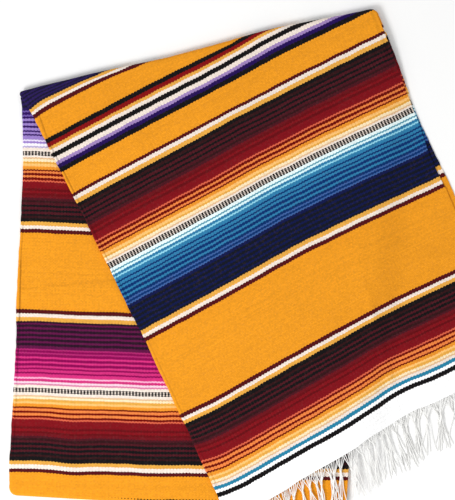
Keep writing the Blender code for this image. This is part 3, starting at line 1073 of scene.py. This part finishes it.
def cool_half(palette):
    """From the light middle of a shaded band out to its dark edge."""
    colours = {**YARN, **COOL[palette]}
    light = [(4, "white"), (2, "line"), (3, "pale"), (3, "mid"), (2, "light"), (5, "mid")]
    lines = [(2, "dark"), (3, "mid")] * 2 + [(LINE, "dark"), (LINE, "mid")] * 2
    lines += [(LINE, "dark"), (2, "bright"), (LINE, "dark"), (2, "bright"), (4, "deep")]
    darks = [(LINE, "ink"), (LINE, "deep")] * 4 + [(LINE, "ink"), (2, "deep"), (LINE, "ink")]
    return [(picks, colours[name]) for picks, name in light + lines + darks]


def border(*widths):
    """The three narrow stripes between a shaded band's dark edge and plain orange."""
    return [(picks, YARN[name]) for picks, name in zip(widths, ("gold", "white", "maroon"))]


def shaded_band(palette, bars, *widths):
    band = cool_half(palette)[::-1] + bars + warm_half()
    return border(*widths)[::-1] + band


def accent():
    stripes = [
        (6, "ink"),
        (5, "purple"),
        (4, "lavender"),
        (5, "white"),
        (6, "ink"),
        (5, "white"),
        (4, "gold"),
        (5, "red"),
        (6, "ink"),
    ]
    return [(picks, YARN[name]) for picks, name in stripes]


def plain(picks):
    return [(picks, YARN["orange"])]


def all_stripes():
    end = [(26, "bleached"), (6, "ink"), (4, "bleached"), (5, "sea")]
    end = [(picks, YARN[name]) for picks, name in end]
    stripes = end + warm_half() + border(5, 4, 5) + plain(105)
    stripes += shaded_band("blue", checker(7), 5, 5, 5) + border(5, 5, 4)
    stripes += plain(29) + accent() + plain(32)
    stripes += shaded_band("violet", checker(6, "white"), 5, 4, 6) + border(5, 5, 5) + plain(99)
    stripes += shaded_band("magenta", checker(6), 5, 5, 5) + border(5, 5, 5)
    stripes += plain(29) + accent() + plain(32)
    stripes += shaded_band("blue", checker(6, "white"), 5, 5, 5) + border(5, 5, 5) + plain(105)
    stripes += border(5, 5, 5)[::-1] + warm_half()[::-1] + end[::-1]
    return stripes


# Materials


def linear(colour):
    return tuple(((c / 255 + 0.055) / 1.055) ** 2.4 if c > 10 else c / 255 / 12.92 for c in colour)


class Graph:
    """A material's node tree, with short calls for the nodes that the blanket needs."""

    def __init__(self, name):
        self.material = bpy.data.materials.new(name)
        self.material.use_nodes = True
        self.tree = self.material.node_tree
        self.shader = self.tree.nodes["Principled BSDF"]

    def put(self, socket, value):
        if isinstance(value, bpy.types.NodeSocket):
            self.tree.links.new(value, socket)
        else:
            socket.default_value = value

    def node(self, kind, **settings):
        node = self.tree.nodes.new(kind)
        for key, value in settings.items():
            setattr(node, key, value)
        return node

    def math(self, operation, *values):
        node = self.node("ShaderNodeMath", operation=operation)
        for socket, value in zip(node.inputs, values):
            self.put(socket, value)
        return node.outputs[0]

    def set(self, name, value):
        """One of the shader's own inputs."""
        self.put(self.shader.inputs[name], value)

    def plus(self, first, second):
        return self.math("ADD", first, second)

    def minus(self, first, second):
        return self.math("SUBTRACT", first, second)

    def times(self, first, second):
        return self.math("MULTIPLY", first, second)

    def between(self, part, low, high):
        """Low plus part times the step from low to high."""
        return self.math("MULTIPLY_ADD", part, high - low, low)

    def vector(self, x, y, z=0.0):
        node = self.node("ShaderNodeCombineXYZ")
        for socket, value in zip(node.inputs, (x, y, z)):
            self.put(socket, value)
        return node.outputs[0]

    def noise(self, vector, scale, detail=2.0, roughness=0.5):
        node = self.node("ShaderNodeTexNoise")
        self.put(node.inputs["Vector"], vector)
        node.inputs["Scale"].default_value = scale
        node.inputs["Detail"].default_value = detail
        node.inputs["Roughness"].default_value = roughness
        return node.outputs[0]

    def chance(self, vector):
        node = self.node("ShaderNodeTexWhiteNoise", noise_dimensions="2D")
        self.put(node.inputs["Vector"], vector)
        return node.outputs["Value"]

    def mix(self, part, first, second):
        node = self.node("ShaderNodeMix", data_type="RGBA")
        self.put(node.inputs[0], part)
        self.put(node.inputs[6], first)
        self.put(node.inputs[7], second)
        return node.outputs[2]

    def scaled(self, colour, value):
        node = self.node("ShaderNodeVectorMath", operation="SCALE")
        self.put(node.inputs[0], colour)
        self.put(node.inputs["Scale"], value)
        return node.outputs[0]

    def uv(self, name):
        node = self.node("ShaderNodeUVMap", uv_map=name)
        split = self.node("ShaderNodeSeparateXYZ")
        self.put(split.inputs[0], node.outputs[0])
        return split.outputs[0], split.outputs[1]

    def bump(self, height, distance, strength=1.0):
        node = self.node("ShaderNodeBump")
        self.put(node.inputs["Height"], height)
        node.inputs["Distance"].default_value = distance
        node.inputs["Strength"].default_value = strength
        return node.outputs[0]


RAMP_PICKS = 51             # five entries of a 256-entry ramp for each pick


def stripe_colour(graph, pick, stripes, first, last):
    """The yarn colour of a pick, from ramps that each hold some picks of the blanket."""
    colour = None
    last = min(last, sum(picks for picks, yarn in stripes))
    start = first - first % RAMP_PICKS
    while start < last:
        stops = []
        at = 0
        for picks, yarn in stripes:
            if at < start + RAMP_PICKS and at + picks > start:
                stops.append((max(0.0, (at - start) / RAMP_PICKS), yarn))
            at += picks
        ramp = graph.node("ShaderNodeValToRGB")
        ramp.color_ramp.interpolation = "CONSTANT"
        elements = ramp.color_ramp.elements
        elements.remove(elements[1])
        elements[0].position = 0.0
        elements[0].color = (*linear(stops[0][1]), 1)
        for position, yarn in stops[1:]:
            elements.new(position).color = (*linear(yarn), 1)
        place = graph.minus(pick, float(start))
        graph.put(ramp.inputs[0], graph.math("DIVIDE", place, float(RAMP_PICKS)))
        if colour is None:
            colour = ramp.outputs[0]
        else:
            past = graph.math("GREATER_THAN", pick, float(start))
            colour = graph.mix(past, colour, ramp.outputs[0])
        start += RAMP_PICKS
    return colour


def cloth_material(name, first, last):
    """Weft-faced plain weave in stripes, for one stretch of the blanket from pick first to last."""
    graph = Graph(name)
    across, along = graph.uv("weave")
    crease = graph.uv("crease")[0]
    place = graph.vector(across, along)

    # The picks run a little unevenly
    uneven = graph.between(graph.noise(place, 40.0, 1.0), -UNEVEN, UNEVEN)
    picks = graph.math("DIVIDE", graph.plus(along, uneven), PICK)
    warps = graph.math("DIVIDE", across, WARP)
    line = graph.math("FLOOR", picks)
    part = graph.minus(picks, line)
    odd = graph.math("FLOORED_MODULO", line, 2.0)
    sign = graph.math("MULTIPLY_ADD", odd, -2.0, 1.0)

    # A pick swells where it passes over a warp, and its neighbours take its room where it is under
    wave = graph.math("COSINE", graph.times(warps, math.pi))
    wave = graph.times(graph.minus(wave, ODD_WIDER), WAVE_STEEP)
    wave = graph.math("MAXIMUM", graph.math("MINIMUM", wave, 1.0), -1.0)
    swell = graph.times(graph.times(wave, sign), INTERLOCK)
    above = graph.math("GREATER_THAN", part, graph.plus(swell, 1.0))
    below = graph.math("LESS_THAN", part, graph.times(swell, -1.0))
    pick = graph.minus(graph.plus(line, above), below)
    moved = graph.plus(above, below)
    own_sign = graph.math("MULTIPLY_ADD", moved, -2.0, 1.0)
    half = graph.math("MULTIPLY_ADD", graph.times(swell, own_sign), 1.0, 0.5)
    centre = graph.plus(pick, 0.5)
    off = graph.math("DIVIDE", graph.math("ABSOLUTE", graph.minus(picks, centre)), half)
    round_top = graph.minus(1.0, graph.times(off, off))
    round_top = graph.math("MAXIMUM", round_top, 0.0)
    float_height = graph.times(round_top, half)

    # Colour: the stripe's yarn, uneven from pick to pick, float to float and place to place, with
    # painted shade in the valleys between floats and in pressed lines
    colour = stripe_colour(graph, centre, all_stripes(), first, last)
    column = graph.math("FLOOR", graph.plus(warps, 0.5))
    per_pick = graph.chance(graph.vector(pick, 3.0))
    per_float = graph.chance(graph.vector(pick, column))
    cloud = graph.noise(place, 9.0, 3.0, 0.6)
    yarn = graph.noise(graph.vector(graph.times(across, 0.25), along), 640.0, 2.0, 0.7)
    shades = [
        # where, darkest, lightest
        (per_float, 0.92, 1.08),
        (cloud, 0.94, 1.06),
        (yarn, 0.91, 1.09),
        # painted shade in the valleys between the floats, and a little painted light on their tops
        (round_top, 0.90, 1.04),
        # painted shade in the pressed lines
        (crease, 1.0, 1 - CREASE_SHADE),
    ]
    shade = graph.between(per_pick, 0.96, 1.04)
    for where, low, high in shades:
        shade = graph.times(shade, graph.between(where, low, high))
    colour = graph.scaled(colour, shade)

    # Here and there a warp or a stray fibre shows between the floats
    rare = graph.chance(graph.vector(column, pick))
    fleck = graph.math("GREATER_THAN", rare, 0.86)
    fleck = graph.times(fleck, graph.between(round_top, 0.10, 0.03))
    tint = graph.mix(per_float, (0.22, 0.10, 0.06, 1), (0.12, 0.10, 0.11, 1))
    colour = graph.mix(fleck, colour, tint)
    graph.set("Base Color", colour)

    fibre = graph.noise(graph.vector(graph.times(across, 0.4), along), 2600.0, 2.0, 0.6)
    height = graph.plus(float_height, graph.times(fibre, 0.22))
    graph.set("Normal", graph.bump(height, 0.55 * MM, 0.6))
    graph.set("Roughness", graph.between(yarn, 0.82, 0.98))
    graph.set("Specular IOR Level", 0.10)
    graph.set("Sheen Weight", 0.03)
    graph.set("Sheen Roughness", 0.5)
    return graph.material


def fringe_material():
    """White yarn of three plies, twisted."""
    graph = Graph("white_fringe")
    turn, along = graph.uv("strand")
    plies = graph.math("MULTIPLY_ADD", along, 1 / (3.6 * MM), graph.times(turn, 1.0))
    phase = graph.times(plies, 3 * 2 * math.pi)
    ply = graph.between(graph.math("COSINE", phase), 0.5, 1.0)
    place = graph.vector(turn, along)
    wear = graph.noise(place, 90.0, 3.0, 0.6)
    # painted shade in the grooves between the twisted plies, times the yarn's uneven tone
    shade = graph.times(graph.between(ply, 0.93, 1.0), graph.between(wear, 0.96, 1.03))
    graph.set("Base Color", graph.scaled((0.98, 0.975, 0.955), shade))
    graph.set("Normal", graph.bump(ply, 0.25 * MM, 0.7))
    graph.set("Roughness", graph.between(wear, 0.8, 0.97))
    graph.set("Specular IOR Level", 0.12)
    graph.set("Sheen Weight", 0.05)
    return graph.material


def floor_material():
    graph = Graph("floor")
    coordinates = graph.node("ShaderNodeTexCoord").outputs["Object"]
    cloud = graph.noise(coordinates, 1.5, 2.0)
    colour = graph.scaled((0.93, 0.93, 0.925), graph.between(cloud, 0.99, 1.01))
    graph.set("Base Color", colour)
    graph.set("Roughness", 0.9)
    graph.set("Specular IOR Level", 0.1)
    return graph.material


# Floor, light and camera

FLOOR_SIZE = 12.0
FLOOR_BELOW = 0.2 * MM
PHOTO_CENTRE = Vector((-72.0, 66.0)) * MM
PHOTO_HEIGHT = 855 * MM     # what the photo's height shows, at the cloth
CLOTH_LEVEL = 10 * MM
CAMERA_ABOVE = 3.4
SENSOR = 36.0


def make_floor():
    mesh = bpy.data.meshes.new("floor")
    half = FLOOR_SIZE / 2
    corners = [(-half, -half, 0), (half, -half, 0), (half, half, 0), (-half, half, 0)]
    mesh.from_pydata(corners, [], [(0, 1, 2, 3)])
    mesh.materials.append(floor_material())
    floor = bpy.data.objects.new("floor", mesh)
    floor.location.z = -FLOOR_BELOW
    bpy.context.collection.objects.link(floor)


def area_light(name, place, size, power):
    data = bpy.data.lights.new(name, "AREA")
    data.shape = "DISK"
    data.size = size
    data.energy = power
    light = bpy.data.objects.new(name, data)
    light.location = place
    light.rotation_mode = "QUATERNION"
    light.rotation_quaternion = (-Vector(place)).to_track_quat("-Z", "Y")
    bpy.context.collection.objects.link(light)


def make_light():
    world = bpy.data.worlds.new("studio")
    world.use_nodes = True
    background = world.node_tree.nodes["Background"]
    background.inputs["Color"].default_value = (1.0, 1.0, 1.0, 1)
    background.inputs["Strength"].default_value = 0.72
    bpy.context.scene.world = world
    area_light("key", (-1.7, -1.5, 2.3), 1.3, 68)
    bpy.context.scene.view_settings.view_transform = "Standard"


def make_camera():
    data = bpy.data.cameras.new("camera")
    data.sensor_width = SENSOR
    data.lens = SENSOR * (CAMERA_ABOVE - CLOTH_LEVEL) / PHOTO_HEIGHT
    camera = bpy.data.objects.new("camera", data)
    camera.location = (PHOTO_CENTRE.x, PHOTO_CENTRE.y, CAMERA_ABOVE)
    bpy.context.collection.objects.link(camera)
    bpy.context.scene.camera = camera


def dress():
    """Makes every piece, and hides the model's parts that the pieces stand in for."""
    upper_cloth = cloth_material("upper_stripes", 0, 632)
    lower_cloth = cloth_material("lower_stripes", 552, 1202)
    turned_cloth = cloth_material("turned_stripes", 1082, 1704)
    fringe_yarn = fringe_material()

    upper = make_upper_face(upper_cloth)
    under = make_upper_under_layer(upper_cloth)
    lower = make_lower_face(lower_cloth)
    back = make_hidden_sheet("lower_back_cloth", "lower_back", back_weave, lower_cloth)
    turned_upper = make_hidden_sheet(
        "turned_upper_cloth", "turned_upper", turned_weave, turned_cloth, rolled=True
    )
    turned_lower = make_hidden_sheet(
        "turned_lower_cloth", "turned_lower", turned_weave, turned_cloth
    )
    step = CLOTH + GAP
    upper_fringe = make_fringe("upper_fringe", 0.0, CLOTH / 2, step, fringe_yarn)
    under_fringe = make_fringe(
        "under_fringe", UNDER_FRINGE_SHIFT, CLOTH / 2 + step, 0.0, fringe_yarn
    )

    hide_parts("upper_arm_face")
    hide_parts("upper_arm_under_layer")
    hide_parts("lower_arm_face")
    for sheet in (back, turned_upper, turned_lower):
        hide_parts("hidden_layers")
    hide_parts("fringe_upper")
    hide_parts("fringe_under")


make_camera()
make_light()
make_floor()
dress()
